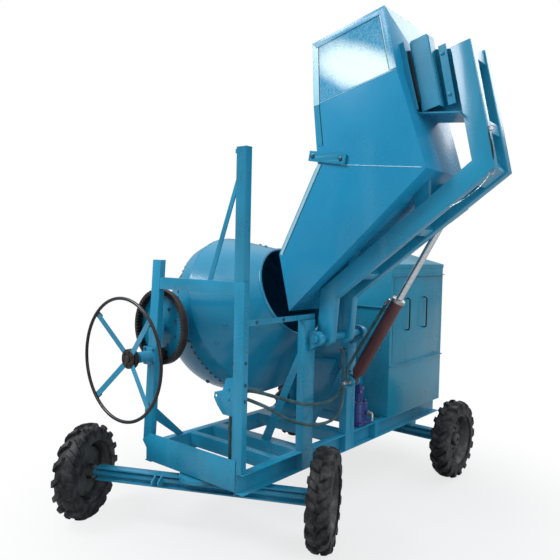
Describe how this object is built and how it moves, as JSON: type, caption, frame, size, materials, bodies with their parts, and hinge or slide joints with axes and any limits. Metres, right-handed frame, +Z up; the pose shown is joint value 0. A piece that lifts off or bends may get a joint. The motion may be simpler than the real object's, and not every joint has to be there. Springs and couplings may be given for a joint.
{
  "type": "concrete mixer",
  "caption": "Towable tilting-drum concrete mixer with a geared hand wheel, a hydraulic loading hopper and an engine cabin on a wheeled chassis.",
  "frame": {"origin": "on the ground, under the middle of the machine's bounding box", "axes": "+X across the chassis towards the hopper's side, +Y along the chassis from the hand wheel to the engine cabin, +Z up"},
  "size_m": [3.0168, 3.7249, 3.725],
  "materials": {
    "blue_paint": "glossy cyan-blue enamel",
    "bare_steel": "plain steel",
    "chromed_rod": "polished",
    "red_primer": "red-brown primer",
    "greasy_iron": "greased cast iron",
    "tyre_rubber": "dusty rubber",
    "black_paint": "satin black",
    "pump_blue": "violet-blue paint",
    "hose_rubber": "matt",
    "engine_grey": "satin grey"
  },
  "bodies": {
    "chassis": {"chassis_frame": "blue_paint", "front_apron": "blue_paint", "portal_frame": "blue_paint", "mast": "blue_paint", "rear_trunnion_frame": "blue_paint", "trunnion_bearing": "blue_paint", "handwheel_bearing": "blue_paint", "post_near": "blue_paint", "post_far": "blue_paint", "pivot_bearing_near": "blue_paint", "pivot_bearing_far": "blue_paint", "mouth_bar": "blue_paint", "pivot_shaft": "bare_steel", "cylinder_bracket": "blue_paint", "turntable_plate": "blue_paint", "rear_axle": "blue_paint", "cabin_shell": "blue_paint", "cabin_roof": "blue_paint", "engine_block": "engine_grey", "transmission_case": "engine_grey", "oil_tank": "blue_paint", "hydraulic_pump": "pump_blue", "valve_bracket": "blue_paint", "valve_body": "bare_steel", "valve_hose": "hose_rubber", "valve_pipe": "hose_rubber", "lift_hose": "hose_rubber"},
    "steering": {"front_axle": "blue_paint"},
    "tilt_cradle": {"tilt_ring_gear": "greasy_iron", "tilt_gear_web": "blue_paint", "yoke": "blue_paint"},
    "drum": {"drum_bowl": "blue_paint", "drum_cone": "blue_paint", "drum_ring_gear": "greasy_iron"},
    "drive": {"drive_pinion": "bare_steel"},
    "hand_wheel": {"handwheel_rim": "blue_paint", "handwheel_hub": "greasy_iron", "tilt_pinion": "greasy_iron"},
    "hopper": {"hopper_bucket": "blue_paint", "latch_plate": "blue_paint", "lifting_frame": "blue_paint", "rod_lug": "blue_paint"},
    "cylinder": {"cylinder_barrel": "red_primer", "cylinder_gland": "bare_steel", "barrel_hose": "hose_rubber"},
    "rod": {"cylinder_rod": "chromed_rod"},
    "lever": {"valve_lever": "bare_steel", "lever_knob": "black_paint"},
    "panel": {"side_panel": "blue_paint", "front_panel_handle": "black_paint", "rear_panel_handle": "black_paint"},
    "engine_flywheel": {"flywheel": "black_paint"},
    "front_left_wheel": {"front_left_tyre": "tyre_rubber", "front_left_rim": "black_paint"},
    "front_right_wheel": {"front_right_tyre": "tyre_rubber", "front_right_rim": "black_paint"},
    "rear_left_wheel": {"rear_left_tyre": "tyre_rubber", "rear_left_rim": "black_paint"},
    "rear_right_wheel": {"rear_right_tyre": "tyre_rubber", "rear_right_rim": "black_paint"}
  },
  "joints": [
    {"name": "steer", "type": "hinge", "parent": "chassis", "child": "steering", "pos_m": [-0.332, -1.1098, 0.36188], "axis": [0, 0, 1], "range_deg": [-54, 3]},
    {"name": "drum_tilt", "type": "hinge", "parent": "chassis", "child": "tilt_cradle", "pos_m": [-0.822, -0.2518, 1.483], "axis": [0, -1, 0], "range_deg": [-15, 190]},
    {"name": "hand_wheel_turn", "type": "hinge", "parent": "chassis", "child": "hand_wheel", "pos_m": [-0.80317, -1.3768, 1.26782], "axis": [0, -1, 0], "range_deg": [-90, 1050]},
    {"name": "drum_spin", "type": "hinge", "parent": "tilt_cradle", "child": "drum", "pos_m": [-0.822, -0.2518, 1.483], "axis": [0.9159, 0, 0.4014], "continuous": true},
    {"name": "drive_spin", "type": "hinge", "parent": "tilt_cradle", "child": "drive", "pos_m": [-0.822, -0.2518, 1.483], "axis": [0, 1, 0], "continuous": true},
    {"name": "hopper_lift", "type": "hinge", "parent": "chassis", "child": "hopper", "pos_m": [0.258, -0.2518, 1.445], "axis": [0, 1, 0], "range_deg": [0, 88]},
    {"name": "cylinder_swing", "type": "hinge", "parent": "chassis", "child": "cylinder", "pos_m": [0.288, -0.0148, 1.06], "axis": [0, 1, 0], "range_deg": [0, 81.6]},
    {"name": "rod_slide", "type": "slide", "parent": "cylinder", "child": "rod", "axis": [0.4947, 0, 0.8691], "range_m": [-0.5197, 0]},
    {"name": "valve_lever_turn", "type": "hinge", "parent": "chassis", "child": "lever", "pos_m": [0.033, -1.1418, 1.165], "axis": [1, 0, 0], "range_deg": [-18, 18], "stiffness_Nm_per_rad": 3},
    {"name": "panel_hinge", "type": "hinge", "parent": "chassis", "child": "panel", "pos_m": [0.194, 0.7482, 1.88], "axis": [0, -1, 0], "range_deg": [0, 95]},
    {"name": "flywheel_spin", "type": "hinge", "parent": "chassis", "child": "engine_flywheel", "pos_m": [-0.012, 1.2982, 0.98], "axis": [1, 0, 0], "continuous": true},
    {"name": "front_left_spin", "type": "hinge", "parent": "steering", "child": "front_left_wheel", "pos_m": [-1.1738, -1.51674, 0.36188], "axis": [0.9003, 0.4352, 0], "continuous": true},
    {"name": "front_right_spin", "type": "hinge", "parent": "steering", "child": "front_right_wheel", "pos_m": [0.5098, -0.70286, 0.36188], "axis": [0.9003, 0.4352, 0], "continuous": true},
    {"name": "rear_left_spin", "type": "hinge", "parent": "chassis", "child": "rear_left_wheel", "pos_m": [-1.267, 1.2742, 0.36188], "axis": [1, 0, 0], "continuous": true},
    {"name": "rear_right_spin", "type": "hinge", "parent": "chassis", "child": "rear_right_wheel", "pos_m": [0.603, 1.2742, 0.36188], "axis": [1, 0, 0], "continuous": true}
  ],
  "couplings": [
    {"joint": "hand_wheel_turn", "follows": "drum_tilt", "ratio": 5.5},
    {"joint": "drive_spin", "follows": "drum_spin", "ratio": -10},
    {"joint": "cylinder_swing", "follows": "hopper_lift", "ratio": 0.92616},
    {"joint": "rod_slide", "follows": "hopper_lift", "m_per_rad": -0.33773}
  ]
}
